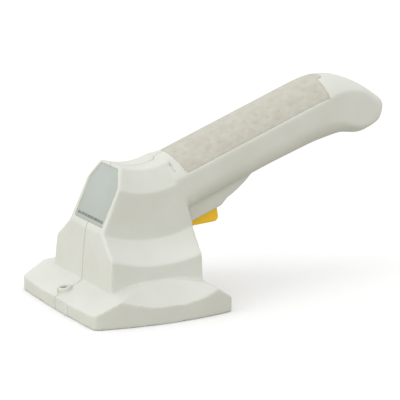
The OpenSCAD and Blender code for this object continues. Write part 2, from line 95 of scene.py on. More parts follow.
AZIMUTH = math.radians(61.5)
ELEVATION = math.radians(13.2)
ROLL = math.radians(0.5)
LENS_MM = 190.8
DISTANCE_M = 1.1976
LOOK_AT = Vector((0, 0.0466, 0.0526))


def view_axes(azimuth, elevation):
    """Right, up and back of a viewer who looks at the sealer from this direction."""
    back = Vector((
        math.sin(azimuth) * math.cos(elevation),
        -math.cos(azimuth) * math.cos(elevation),
        math.sin(elevation),
    ))
    right = Vector((math.cos(azimuth), math.sin(azimuth), 0))
    return right, back.cross(right), back


def turned(right, up, back, place):
    matrix = Matrix((right, up, back)).transposed().to_4x4()
    matrix.translation = place
    return matrix


def add_camera():
    right, up, back = view_axes(AZIMUTH, ELEVATION)
    tilted_right = right * math.cos(ROLL) + up * math.sin(ROLL)
    tilted_up = up * math.cos(ROLL) - right * math.sin(ROLL)
    data = bpy.data.cameras.new("camera")
    data.lens = LENS_MM
    data.clip_start = 0.05
    camera = bpy.data.objects.new("camera", data)
    bpy.context.scene.collection.objects.link(camera)
    camera.matrix_world = turned(tilted_right, tilted_up, back, LOOK_AT + back * DISTANCE_M)
    bpy.context.scene.camera = camera


def add_far_softbox(name, azimuth, elevation, spread, strength):
    """A large softbox far away in this direction, spread degrees across as the sealer sees it."""
    data = bpy.data.lights.new(name, "SUN")
    data.angle = math.radians(spread)
    data.energy = strength
    lamp = bpy.data.objects.new(name, data)
    bpy.context.scene.collection.objects.link(lamp)
    right, up, back = view_axes(math.radians(azimuth), math.radians(elevation))
    lamp.matrix_world = turned(right, up, back, LOOK_AT + back)


def add_studio():
    scene = bpy.context.scene
    scene.view_settings.view_transform = "Standard"
    world = bpy.data.worlds.new("studio")
    scene.world = world
    world.use_nodes = True
    background = world.node_tree.nodes["Background"]
    background.inputs["Color"].default_value = (1, 1, 1, 1)
    background.inputs["Strength"].default_value = 1.0
    add_far_softbox("front_softbox", 0, 24, 30, 0.64)
    add_far_softbox("edge_softbox", 35, 15, 15, 0.12)
    add_far_softbox("top_softbox", 120, 75, 50, 0.15)


# ---- Materials ----


def new_finish(name):
    """An empty material, its tree, its Principled shader and the place on the object."""
    material = bpy.data.materials.new(name)
    material.use_nodes = True
    tree = material.node_tree
    shader = tree.nodes["Principled BSDF"]
    place = tree.nodes.new("ShaderNodeTexCoord").outputs["Object"]
    return material, tree, shader, place


def mottle(tree, place, size_mm, detail=3.0):
    """Soft noise whose blotches are about size_mm across."""
    return add_node(tree, "ShaderNodeTexNoise", Vector=place, Scale=1 / (size_mm * MM), Detail=detail)


def between(tree, factor, low, high, smooth=False):
    """Maps a value from 0.3 to 0.7, where noise mostly lies, to a range."""
    kind = {"interpolation_type": "SMOOTHSTEP"} if smooth else {}
    ranged = add_node(tree, "ShaderNodeMapRange", kind, Value=factor, i1=0.3, i2=0.7, i3=low, i4=high)
    return ranged.outputs["Result"]


def blended(tree, factor, first, second):
    mix = add_node(tree, "ShaderNodeMix", {"data_type": "RGBA"}, i0=factor, i6=first, i7=second)
    return mix.outputs[2]


def raise_bump(tree, shader, height, distance_mm, strength=1.0):
    bump = add_node(tree, "ShaderNodeBump", Height=height, Distance=distance_mm * MM, Strength=strength)
    tree.links.new(bump.outputs["Normal"], shader.inputs["Normal"])


def moulded(name, colour, shade, roughness, grain_mm=0.7, relief_mm=0.012, ior=1.54):
    """Injection-moulded plastic: one even colour that drifts slightly, with the fine spark-eroded
    grain of the mould and gloss that varies a little from place to place."""
    material, tree, shader, place = new_finish(name)
    drift = mottle(tree, place, 24).outputs["Fac"]
    grain = mottle(tree, place, grain_mm, 2.0).outputs["Fac"]
    tint = blended(tree, between(tree, drift, 0, 1, True), srgb(colour), srgb(shade))
    gloss = between(tree, grain, roughness - 0.05, roughness + 0.05)
    set_inputs(tree, shader, Base_Color=tint, Roughness=gloss, IOR=ior)
    raise_bump(tree, shader, grain, relief_mm)
    return material


def metal(name, colour, shade, roughness, streak_mm=(0.3, 6, 6), relief_mm=0.004):
    """Drawn, rolled or turned metal: fine streaks along the way it was worked, which change
    its gloss and tone."""
    material, tree, shader, place = new_finish(name)
    stretch = tuple(1 / (s * MM) for s in streak_mm)
    along = add_node(tree, "ShaderNodeMapping", Vector=place, Scale=stretch).outputs["Vector"]
    streaks = add_node(tree, "ShaderNodeTexNoise", Vector=along, Scale=1.0, Detail=3.0).outputs["Fac"]
    tint = blended(tree, between(tree, streaks, 0, 1), srgb(colour), srgb(shade))
    gloss = between(tree, streaks, roughness - 0.06, roughness + 0.08)
    set_inputs(tree, shader, Base_Color=tint, Roughness=gloss, Metallic=1.0)
    raise_bump(tree, shader, streaks, relief_mm)
    return material


def grip_elastomer():
    """Soft-touch TPE overmoulding: matt, a little lighter where the surface catches light,
    with faint mottling from the mould."""
    material, tree, shader, place = new_finish("soft_touch_tpe_grip")
    cloud = mottle(tree, place, 5).outputs["Fac"]
    fine = mottle(tree, place, 0.8, 2.0).outputs["Fac"]
    tint = blended(tree, between(tree, cloud, 0, 1, True), srgb("#C2C0B4"), srgb("#BBB8AB"))
    set_inputs(tree, shader, Base_Color=tint, Roughness=between(tree, fine, 0.66, 0.78), IOR=1.5,
               Sheen_Weight=0.12, Sheen_Roughness=0.5)
    raise_bump(tree, shader, fine, 0.03)
    return material


def circuit_board():
    """FR-4 board with green solder mask: glossy mask over copper tracks in rows 2.54 mm apart,
    drawn wider than real tracks so that they show."""
    material, tree, shader, place = new_finish("fr4_green_solder_mask")
    two_rows_mm = 5.08
    raster = add_node(tree, "ShaderNodeTexBrick", Vector=place, Scale=1 / (two_rows_mm * MM),
                      Mortar_Size=0.06, Brick_Width=1.0, Row_Height=0.5, Color1=srgb("#245C37"),
                      Color2=srgb("#2B6A41"), Mortar=srgb("#4C8A58"))
    gloss = between(tree, mottle(tree, place, 3).outputs["Fac"], 0.28, 0.4)
    set_inputs(tree, shader, Base_Color=raster.outputs["Color"], Roughness=gloss, IOR=1.55)
    raise_bump(tree, shader, raster.outputs["Fac"], 0.03)
    return material


def release_cloth():
    """PTFE-coated glass cloth: brown, slippery, with the plain weave of the glass threads showing
    through the coating. Real threads lie 0.5 mm apart; these are coarser so that the weave shows."""
    material, tree, shader, place = new_finish("ptfe_coated_glass_cloth")
    thread_mm = 1.57
    # A wave texture turns 20 radians for each unit
    scale = 2 * math.pi / 20 / (thread_mm * MM)
    warp = add_node(tree, "ShaderNodeTexWave", {"bands_direction": "X"}, Vector=place, Scale=scale)
    weft = add_node(tree, "ShaderNodeTexWave", {"bands_direction": "Y"}, Vector=place, Scale=scale)
    weave = add_node(tree, "ShaderNodeMath", {"operation": "MULTIPLY"}, i0=warp.outputs["Fac"],
                     i1=weft.outputs["Fac"]).outputs[0]
    tint = blended(tree, weave, srgb("#8C6238"), srgb("#B98A56"))
    set_inputs(tree, shader, Base_Color=tint, Roughness=0.42, IOR=1.38)
    raise_bump(tree, shader, weave, 0.05)
    return material


def light_resin():
    """Diffused epoxy of an unlit indicator light: milky, with a glossy cast surface."""
    material, tree, shader, place = new_finish("diffused_epoxy_light")
    haze = mottle(tree, place, 1.2).outputs["Fac"]
    tint = blended(tree, haze, srgb("#A9CDA9"), srgb("#BFDDBE"))
    set_inputs(tree, shader, Base_Color=tint, Roughness=between(tree, haze, 0.12, 0.2), IOR=1.52,
               Subsurface_Weight=0.3, Subsurface_Radius=(0.001, 0.001, 0.001))
    return material


FINISH = {
    # Textured housing ABS reads as a matt, slightly warm white
    "casing_abs": moulded("textured_ivory_abs", "#D8D9D1", "#D3D4CB", 0.46, relief_mm=0.01),
    # The panel is a smoother moulding, and cooler
    "panel_abs": moulded("satin_grey_abs", "#B2B9B3", "#ADB5AE", 0.4, 0.9, 0.008),
    "grip_tpe": grip_elastomer(),
    # The trigger is polished in the mould, so it is the glossiest plastic
    "trigger_abs": moulded("polished_amber_abs", "#FFCF1E", "#FDC81A", 0.32, 1.0, 0.006),
    # Printed marks are a thin matt film of ink
    "mark_ink": moulded("screen_printed_ink", "#5C625D", "#686E69", 0.6, 0.4, 0.004, 1.5),
    # Label stock is a smooth polyester film
    "label_film": moulded("white_polyester_film", "#DBDED9", "#D7DAD5", 0.3, 1.5, 0.004, 1.6),
    "black_plastic": moulded("black_glass_filled_nylon", "#232426", "#2C2D30", 0.5, 0.5, 0.02, 1.53),
    "red_plastic": moulded("red_acetal", "#A92C26", "#B43A30", 0.35, 0.8, 0.006, 1.48),
    "white_nylon": moulded("natural_nylon", "#E6E1D1", "#DDD7C5", 0.42, 0.8, 0.008, 1.53),
    "board_green": circuit_board(),
    "blue_sleeve": moulded("blue_pvc_shrink_sleeve", "#2F5F95", "#39699E", 0.3, 3.0, 0.02, 1.53),
    "led_resin": light_resin(),
    "zinc_steel": metal("zinc_plated_steel", "#C2C5C8", "#A9ADB0", 0.32, (2, 2, 0.4)),
    "dark_steel": metal("black_oxide_steel", "#5A564C", "#47443D", 0.45, (2, 0.5, 2)),
    "spring_steel": metal("bright_spring_wire", "#B4B7BA", "#92969A", 0.26, (1.5, 1.5, 1.5)),
    "bar_aluminium": metal("extruded_aluminium", "#D0D3D5", "#BCC0C3", 0.36, (14, 0.35, 0.35)),
    "ribbon_metal": metal("rolled_nichrome_ribbon", "#A39C92", "#8A8379", 0.38, (10, 0.3, 0.3)),
    "brass": metal("turned_brass", "#CBA95A", "#B8934A", 0.3, (0.5, 0.5, 2)),
    "silicone": moulded("red_silicone_rubber", "#A94A2B", "#B45636", 0.62, 1.2, 0.03, 1.41),
    "ptfe_cloth": release_cloth(),
    "red_wire": moulded("red_silicone_wire_jacket", "#A3281F", "#B5342A", 0.5, 1.5, 0.02, 1.41),
    "grey_wire": moulded("grey_pvc_wire_jacket", "#6B7074", "#777C80", 0.45, 1.5, 0.02, 1.53),
}

# CAD nodes that keep their shape, and the finish of each
KEPT_NODES = {
    "casing_abs": ["base_plate"],
    "dark_steel": ["front_screw"],
    "zinc_steel": ["casing_screws", "base_screws", "guide_posts", "trigger_pin", "push_lever",
                   "board_screws", "front_contacts", "rear_contacts", "terminal_screws"],
    "board_green": ["control_board", "charge_board"],
    "black_plastic": ["timer_chip", "heater_transistor", "buzzer", "microswitch", "battery_cradle",
                      "charging_socket", "press_carriage"],
    "blue_sleeve": ["capacitors"],
    "led_resin": ["indicator_leds"],
    "white_nylon": ["board_connector", "thermal_cutout"],
    "red_plastic": ["switch_plunger"],
    "bar_aluminium": ["heater_bar"],
    "silicone": ["silicone_cushion"],
    "ribbon_metal": ["heating_ribbon"],
    "ptfe_cloth": ["release_cover"],
    "brass": ["terminal_blocks"],
    "red_wire": ["battery_leads", "charge_leads"],
    "grey_wire": ["switch_leads"],
}


def finish_kept_nodes():
    for finish, names in KEPT_NODES.items():
        for name in names:
            slots = frame["nodes"][name].data.materials
            slots.clear()
            slots.append(FINISH[finish])


# ---- Mesh helpers. Shapes are worked out in millimetres and stored in metres. ----


def add_piece(name, points, faces, finish, smooth=True):
    mesh = bpy.data.meshes.new(name)
    mesh.from_pydata((np.asarray(points, float) * MM).tolist(), [], [list(map(int, f)) for f in faces])
    mesh.materials.append(FINISH[finish])
    mesh.polygons.foreach_set("use_smooth", [smooth] * len(mesh.polygons))
    mesh.update()
    piece = bpy.data.objects.new(name, mesh)
    bpy.context.scene.collection.objects.link(piece)
    return piece


def fit_to_body(piece, body, slot, *nodes):
    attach(piece, body)
    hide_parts(*nodes)


def work_mesh(piece):
    """A closed piece as a bmesh, its doubled points merged and every face turned outwards."""
    work = bmesh.new()
    work.from_mesh(piece.data)
    bmesh.ops.remove_doubles(work, verts=work.verts, dist=0.002 * MM)
    bmesh.ops.recalc_face_normals(work, faces=work.faces)
    return work


def outward(piece):
    """Turns every face of a closed piece outwards."""
    work = work_mesh(piece)
    work.to_mesh(piece.data)
    work.free()


def round_edges(piece, radius, segments=3, angle=30):
    """Rounds every edge of a closed piece that turns by more than angle degrees."""
    work = work_mesh(piece)
    sharp = [e for e in work.edges if e.is_manifold and e.calc_face_angle() > math.radians(angle)]
    bmesh.ops.bevel(work, geom=sharp, offset=radius * MM, segments=segments, profile=0.5,
                    affect="EDGES", clamp_overlap=True)
    work.to_mesh(piece.data)
    work.free()
    piece.data.polygons.foreach_set("use_smooth", [True] * len(piece.data.polygons))
    piece.data.set_sharp_from_angle(angle=math.radians(angle))


def arc(start, end, bulge, steps=12):
    """Points of an arc that bulges to the left of its direction by bulge."""
    start, end = np.array(start, float), np.array(end, float)
    half = np.linalg.norm(end - start) / 2
    along = (end - start) / (2 * half)
    out = np.array([-along[1], along[0]]) * np.sign(bulge)
    radius = (half ** 2 + bulge ** 2) / (2 * abs(bulge))
    centre = (start + end) / 2 - out * (radius - abs(bulge))
    turn = np.arcsin(half / radius) * np.linspace(-1, 1, steps + 1)[:, None]
    return (centre + radius * (out * np.cos(turn) + along * np.sin(turn))).tolist()


def sleeve_faces(rings, sides):
    """Faces of a closed sleeve whose points lie in rings: a cap at each end and quads between."""
    faces = [list(range(sides))[::-1]]
    for ring in range(rings - 1):
        for k in range(sides):
            one, two = ring * sides + k, ring * sides + (k + 1) % sides
            faces.append([one, two, two + sides, one + sides])
    faces.append([(rings - 1) * sides + k for k in range(sides)])
    return faces


def tube(route, radius, sides=10):
    """Points and faces of a closed tube along a route."""
    route = np.asarray(route, float)
    ahead = np.gradient(route, axis=0)
    ahead /= np.linalg.norm(ahead, axis=1)[:, None]
    side = np.cross(ahead[0], (0.31, 0.2, 0.93))
    points = []
    for place, direction in zip(route, ahead):
        side = side - direction * side.dot(direction)
        side /= np.linalg.norm(side)
        up = np.cross(direction, side)
        for k in range(sides):
            turn = 2 * math.pi * k / sides
            points.append(place + radius * (side * math.cos(turn) + up * math.sin(turn)))
    return points, sleeve_faces(len(route), sides)


def joined(parts):
    """One list of points and one of faces from several pairs of them."""
    points, faces = [], []
    for more_points, more_faces in parts:
        shift = len(points)
        points += list(more_points)
        faces += [[i + shift for i in face] for face in more_faces]
    return points, faces


def lathe(profile, place, sides=40):
    """Turns a profile of (radius, distance along the axis) and puts it in place with a function."""
    points = []
    for radius, along in profile:
        for k in range(sides):
            turn = 2 * math.pi * k / sides
            points.append(place(radius * math.cos(turn), radius * math.sin(turn), along))
    return points, sleeve_faces(len(profile), sides)


# ---- Casings: a solid described by distances, softened as a moulding is, then skinned ----

# Distance between samples
PITCH = 0.77
WALL = 2.2
# How much the edges are softened: creases, the tower's upright edges, and the nose
CREASE_SOFT = 0.32
UPRIGHT_SOFT = 0.7
NOSE_SOFT = 2.4
# How far the whole outside is moved out after softening
GROWTH = 0.25
# Parting line: half width and depth of its slot, half width of its mouth, and how that narrows
SEAM_HW = 0.22
SEAM_DEPTH = 1.5
SEAM_MOUTH = 0.6
SEAM_TAPER = 0.8
# Each casing stands this far from the middle
PARTING_GAP = 0.02

BASE_LEN = 84
BASE_W = 94
EDGE_H = 7.5
TOWER_FOOT_Y = -26.6
TOWER_REAR = 29.2
FOOT_Z = 15.2
REAR_FOOT_Z = 16.6
# How far the base's sides, its ends and the sweep of its top bow out
SIDE_BOW = 5.2
END_BOW = 1.4
SWEEP_BOW = 3.8
# The slopes of the base's top start this far outside its corners
SLOPE_START = 0.6
CORNER_SOFT = 1.5
# Farther out than any part of the sealer
FAR = 90
CREASE_Y = 4
CREASE_Z = 113

# Half width of the tower at each distance from the crease axis
TOWER_WIDTHS = [(36.5, 12.2), (48, 19.8), (74, 21), (85, 35), (130, 39)]
# Half width of the coved base at each distance from the crease axis
COVE_WIDTHS = [(92, 35), (103.3, 50.5), (104.3, 60), (130, 60)]
TOWER_SIDE = [(TOWER_FOOT_Y - 3, -20), (-26.1, 32.5), (-24.8, 44.5), (-9.6, 79.2), (-7, 85), (19.5, 85),
              (24.2, 68.9), (31, 44.5), (TOWER_REAR, 32.5), (TOWER_REAR, -20)]

HANDLE_SLOPE = math.radians(21)
HANDLE_ROOT = (28.6, 66.8)
HANDLE_HW = 19.5
HANDLE_LEN = 140
HANDLE_START = -6
CROWN_DROP = 11
CROWN_R = (HANDLE_HW ** 2 + CROWN_DROP ** 2) / (2 * CROWN_DROP)
BELLY_R = 12
# Raised band between the tower and the pad
COLLAR = (-5.6, 0.8)
COLLAR_LIFT = 0.7
# The handle narrows to a half ellipse from here, and its softening sets in over this stretch
NOSE_START = 90
NOSE_SOFTENS = (117, 135)
# Height of the crown and of the belly at each distance along the handle
CROWN_LINE = [(-30, 16.5), (96, 16.7), (106, 15.6), (115, 11.7), (125, 3.4), (133, -5.8),
              (137, -11.2), (141, -18)]
BELLY_LINE = [(-30, -15.5), (55, -15.4), (85, -16.3), (104, -18.8), (114, -24.8), (141, -24.4)]
# The blunt end of the handle, from its top to its foot in the side view
TIP = [(HANDLE_LEN, -18), (HANDLE_LEN - 15, -25.5)]
TIP_BOW = 1.6
HOUSING_HW = 10
SOCKET_A = 123
SOCKET_P = -13
SOCKET_R = 4.05
SOCKET_COLLAR_R = 5.75

PAD_START = 2
PAD_LEN = 99
PAD_T = 2.5
PAD_HW = 19.0
PAD_HALF_TURN = math.asin(PAD_HW / CROWN_R)
# How far the middle of each end bows out past its sides, and past the pad's front and rear
PAD_BOW = 1.8
PAD_OVERRUN = (1.2, 0.8)
# At the rear the middle of the pad runs on in a short tongue: its length, half width and fall-off
PAD_TONGUE = (4.0, 6.5, 1.5)

FACE_FOOT = (-24.8, 44.5)
FACE_SLOPE = math.atan2(79.2 - 44.5, -9.6 + 24.8)
PANEL_T = 1.4
PANEL = [(-17.5, 3.6), (17.5, 3.6), (17.7, 26.7), (10.6, 36.2), (-10.6, 36.2), (-17.7, 26.7)]

PIVOT = tuple(1000 * c for c in joints["trigger_pull"]["pos_m"][1:])
TRIGGER_OPENING = [(30.4, 38.8), (58, 38.8), (58, 50.5), (53, 58), (26, 52.5), (26, 43), (28, 41.4),
                   (30.4, 41)]
TRIGGER_OPENING_HW = 7
SCREW_Y = -37.5
SCREW_SLOPE = math.atan2(FOOT_Z - EDGE_H, TOWER_FOOT_Y + BASE_LEN / 2)
SCREW_Z = EDGE_H + (SCREW_Y + BASE_LEN / 2) * math.tan(SCREW_SLOPE)
# Middle of the screw ring's top, and how far it leans forward
RING = (-38.1, 12.7, math.radians(8))
RING_R = 4.15
RING_WELL_R = 2.2
FRONT_SHANK_R = 1.5
FRONT_HEAD_R = 2.4
# Gap around what is set into the casings
FIT = 0.1
PIN_R = 2.0
# How far the trigger pin and the casing screws reach from the middle
PIN_REACH = 9
SCREW_REACH = 8
# Round bosses and posts: their radius, and their holes for a screw's thread, shank and head
BOSS_R = 3.5
THREAD_R = 1.45
SHANK_R = 1.6
HEAD_R = 2.5
# Foot and top of the corner posts
POST_Z = (3.1, 17)
# The pillar behind the panel: distance from the middle, height up the face, radius and depth
PILLAR = (12.5, 8, 2.5, 6.3)
# The shelf in the tower: its middle and half size in the side view, and where it starts across
SHELF = (8, 41, 3, 1, 11)
# The indicator light's hole: its distance from the middle, height up the face, and radius
LIGHT_HOLE = (4, 12, 1.7)
# The short slit beside the collar: middle along the handle, half width, middle across, half length
SLIT = (-3.5, 0.45, 14.8, 2.6)


def side_point(a, p):
    """Place in the side view of a point a along the handle and p square to it."""
    return (HANDLE_ROOT[0] + a * math.cos(HANDLE_SLOPE) - p * math.sin(HANDLE_SLOPE),
            HANDLE_ROOT[1] + a * math.sin(HANDLE_SLOPE) + p * math.cos(HANDLE_SLOPE))


CASING_BOSSES = [(14, 56.2), (-20.8, 32), (24.2, 32.5), side_point(64, -12.2), side_point(107, -15.5)]
CORNER_POSTS = [(38, -31), (38, 33)]


def samples(low, high):
    """Sample places with none at zero, so that the flat faces there fall between samples."""
    first = math.floor(low / PITCH) + 0.5
    return np.arange(first, high / PITCH) * PITCH


def parted_samples(margin, high):
    """Sample places that crowd together at the parting line, where its groove is narrow."""
    fine = np.arange(0.1, 1.0, 0.2)
    outside = np.concatenate([fine, np.arange(1.0 + PITCH / 2, high, PITCH)])
    return np.concatenate([-outside[outside < margin][::-1], outside])


# The samples reach well past the sealer, because softening at the last sample can open a hole
GRID = (parted_samples(9, 57), samples(-47, 170), samples(-5, 123))
X = GRID[0].astype(np.float32)[:, None, None]
Y = GRID[1].astype(np.float32)[None, :, None]
Z = GRID[2].astype(np.float32)[None, None, :]
ACROSS = np.abs(X)


def soften(field, spread):
    """Rounds a sampled shape by averaging it over a bell of spread millimetres."""
    for axis, places in enumerate(GRID):
        if field.shape[axis] == 1:
            continue
        bell = np.exp(-0.5 * ((places[:, None] - places[None, :]) / spread) ** 2)
        bell *= np.gradient(places)[None, :]
        bell /= bell.sum(1)[:, None]
        field = np.moveaxis(np.tensordot(bell.astype(np.float32), field, (1, axis)), 0, axis)
    return field


def outline_distance(outline, u, v):
    """Distance from each (u, v) to a closed outline, negative inside."""
    nearest = np.full(np.broadcast(u, v).shape, 1e9, np.float32)
    inside = np.zeros(nearest.shape, bool)
    for (u0, v0), (u1, v1) in zip(outline, outline[1:] + outline[:1]):
        du, dv = u1 - u0, v1 - v0
        share = np.clip(((u - u0) * du + (v - v0) * dv) / (du * du + dv * dv + 1e-12), 0, 1)
        nearest = np.minimum(nearest, (u - u0 - share * du) ** 2 + (v - v0 - share * dv) ** 2)
        if dv != 0:
            crosses = ((v0 > v) != (v1 > v)) & (u < (v - v0) * du / dv + u0)
            inside = inside ^ crosses
    return np.where(inside, -1, 1) * np.sqrt(nearest)


def along_line(line, places, spread=0.0):
    """Value at each place along a line of (place, value) points, smoothed over spread."""
    table = np.arange(line[0][0] - 20, line[-1][0] + 20, 0.5)
    values = np.interp(table, [p for p, _ in line], [v for _, v in line])
    if spread:
        reach = int(3 * spread / 0.5)
        bell = np.exp(-0.5 * (np.arange(-reach, reach + 1) * 0.5 / spread) ** 2)
        values = np.convolve(np.pad(values, reach, mode="edge"), bell / bell.sum(), mode="valid")
    return np.interp(places, table, values).astype(np.float32)


def flank(widths, radius):
    """Distance out of a flank whose half width depends on the distance from the crease axis."""
    half = np.interp(radius, [r for r, _ in widths], [w for _, w in widths])
    step = 0.5
    later = np.interp(radius + step, [r for r, _ in widths], [w for _, w in widths])
    steep = (later - half) / step
    return ((ACROSS - half) / np.sqrt(1 + steep ** 2)).astype(np.float32)


def on_slope(y, z, slope):
    """How far up and how far out of a slope each sample lies, from this place in the side view."""
    up = (Y - y) * math.cos(slope) + (Z - z) * math.sin(slope)
    out = (Z - z) * math.cos(slope) - (Y - y) * math.sin(slope)
    return up, out


def union(shapes):
    """The shape that holds all of these."""
    return reduce(np.minimum, shapes)


def crown_height(along):
    """Height of the crown this far along the handle."""
    return along_line(CROWN_LINE, along, 4.0)


# Places in the handle's own frame: along it, and square to it
ALONG, SQUARE = on_slope(*HANDLE_ROOT, HANDLE_SLOPE)
CREASE_RADIUS = np.hypot(Y - CREASE_Y, Z - CREASE_Z)
# Places in the front face's frame: up the slope, and out of it
UP_FACE, OUT_FACE = on_slope(*FACE_FOOT, FACE_SLOPE)


def base_field():
    """The wide base: bowed sides, a swept top and coved flanks."""
    hw, hl = BASE_W / 2, BASE_LEN / 2
    plan = (arc((hw, -hl), (-hw, -hl), END_BOW)[:-1] + arc((-hw, -hl), (-hw, hl), SIDE_BOW)[:-1]
            + arc((-hw, hl), (hw, hl), END_BOW)[:-1] + arc((hw, hl), (hw, -hl), SIDE_BOW)[:-1])
    side = ([(-FAR, -FAR), (-FAR, EDGE_H), (-hl - SLOPE_START, EDGE_H)]
            + arc((TOWER_FOOT_Y, FOOT_Z), (TOWER_REAR, REAR_FOOT_Z), SWEEP_BOW)
            + [(hl + SLOPE_START, EDGE_H), (FAR, EDGE_H), (FAR, -FAR)])
    rounded_plan = soften(outline_distance(plan, X, Y), CORNER_SOFT)
    cove = np.maximum(flank(COVE_WIDTHS, CREASE_RADIUS), COVE_WIDTHS[0][0] - CREASE_RADIUS)
    return np.maximum(np.maximum(rounded_plan, outline_distance(side, Y, Z)), cove)


def tower_field():
    """The tower: its side view under a round roof, between flanks that widen downwards."""
    roof = TOWER_WIDTHS[0][0] - CREASE_RADIUS
    profile = np.maximum(outline_distance(TOWER_SIDE, Y, Z), roof)
    return np.maximum(profile, flank(TOWER_WIDTHS, CREASE_RADIUS))


def crown_field():
    """The crown of the handle as a round bar whose top follows the crown line."""
    return np.hypot(ACROSS, SQUARE - crown_height(ALONG) + CROWN_R) - CROWN_R


def handle_field(crown):
    """The handle below its crown: round lower edges, a round nose, a blunt tip and the collar."""
    belly = along_line(BELLY_LINE, ALONG, 3.0)
    beside = ACROSS - (HANDLE_HW - BELLY_R)
    below = belly + BELLY_R - SQUARE
    corner = np.hypot(np.maximum(beside, 0), np.maximum(below, 0))
    grip = corner + np.minimum(np.maximum(beside, below), 0) - BELLY_R
    nose_len = HANDLE_LEN + 1 - NOSE_START
    nose = (np.hypot(ACROSS / HANDLE_HW, np.maximum(ALONG - NOSE_START, 0) / nose_len) - 1) * HANDLE_HW
    tip_side = ([(-40, 60), (HANDLE_LEN, 60), TIP[0]] + arc(*TIP, TIP_BOW)[1:]
                + [(TIP[1][0], -60), (-40, -60)])
    tip = outline_distance(tip_side, ALONG, SQUARE)
    section = np.maximum(crown, grip)
    sides = np.maximum(section, np.maximum(nose, tip))
    collar = np.maximum(section - COLLAR_LIFT, np.maximum(COLLAR[0] - ALONG, ALONG - COLLAR[1]))
    return np.minimum(np.maximum(sides, HANDLE_START - ALONG), collar)


def housing_field():
    """The narrow housing under the handle's root, which the trigger works in."""
    side = ([(-14, -10), (-14, -24.5), (19, -24.5)] + arc((24, -22), (46, -14), -1.2) + [(46, -10)])
    return np.maximum(ACROSS - HOUSING_HW, outline_distance(side, ALONG, SQUARE))


def outer_field(crown):
    """The whole outside: crisp creases, softer upright edges on the tower, softest on the nose."""
    crisp = np.minimum(base_field(), tower_field())
    crisp = np.minimum(crisp, np.minimum(handle_field(crown), housing_field()))
    creases = soften(crisp, CREASE_SOFT)
    uprights = soften(crisp, UPRIGHT_SOFT)
    nose = soften(crisp, NOSE_SOFT)
    near_upright = np.clip(1 + outline_distance(TOWER_SIDE, Y, Z) / 5, 0, 1) * np.clip((Z - 14) / 6, 0, 1)
    soft_from, soft_to = NOSE_SOFTENS
    toward_nose = np.clip((ALONG - soft_from) / (soft_to - soft_from), 0, 1)
    toward_nose = toward_nose ** 2 * (3 - 2 * toward_nose)
    body = creases * (1 - near_upright) + uprights * near_upright
    return body * (1 - toward_nose) + nose * toward_nose - GROWTH


def rod_across(place, radius):
    """A rod from side to side through this place in the side view."""
    return np.hypot(Y - place[0], Z - place[1]) - radius


def inner_features():
    """Bosses, posts and shelves moulded inside each casing."""
    shapes = [rod_across(boss, BOSS_R) + 0 * X for boss in CASING_BOSSES]
    shapes.append(np.maximum(rod_across(PIVOT, BOSS_R), 7.0 - ACROSS))
    for x, y in CORNER_POSTS:
        post = np.hypot(ACROSS - x, Y - y) - BOSS_R
        shapes.append(np.maximum(post, np.maximum(POST_Z[0] - Z, Z - POST_Z[1])))
    x, up, radius, depth = PILLAR
    pillar = np.hypot(ACROSS - x, UP_FACE - up) - radius
    shapes.append(np.maximum(pillar, np.maximum(-depth - OUT_FACE, OUT_FACE)))
    shapes.append(np.maximum(np.hypot(ACROSS, SQUARE - SOCKET_P) - SOCKET_COLLAR_R, SOCKET_A + 1 - ALONG))
    y, z, half_length, half_height, start = SHELF
    shelf = np.maximum(np.abs(Y - y) - half_length, np.abs(Z - z) - half_height)
    shapes.append(np.maximum(shelf, start - ACROSS))
    return union(shapes)


def pad_ends(across):
    """Where the pad starts and ends along the handle: both ends bow outwards in the middle."""
    length, half_width, fall = PAD_TONGUE
    bow = (across / PAD_HW) ** 2
    tongue = length * np.clip((half_width - np.abs(across)) / fall, 0, 1)
    front, rear = PAD_OVERRUN
    return PAD_START - front + PAD_BOW * bow, PAD_START + PAD_LEN + rear - PAD_BOW * bow + tongue


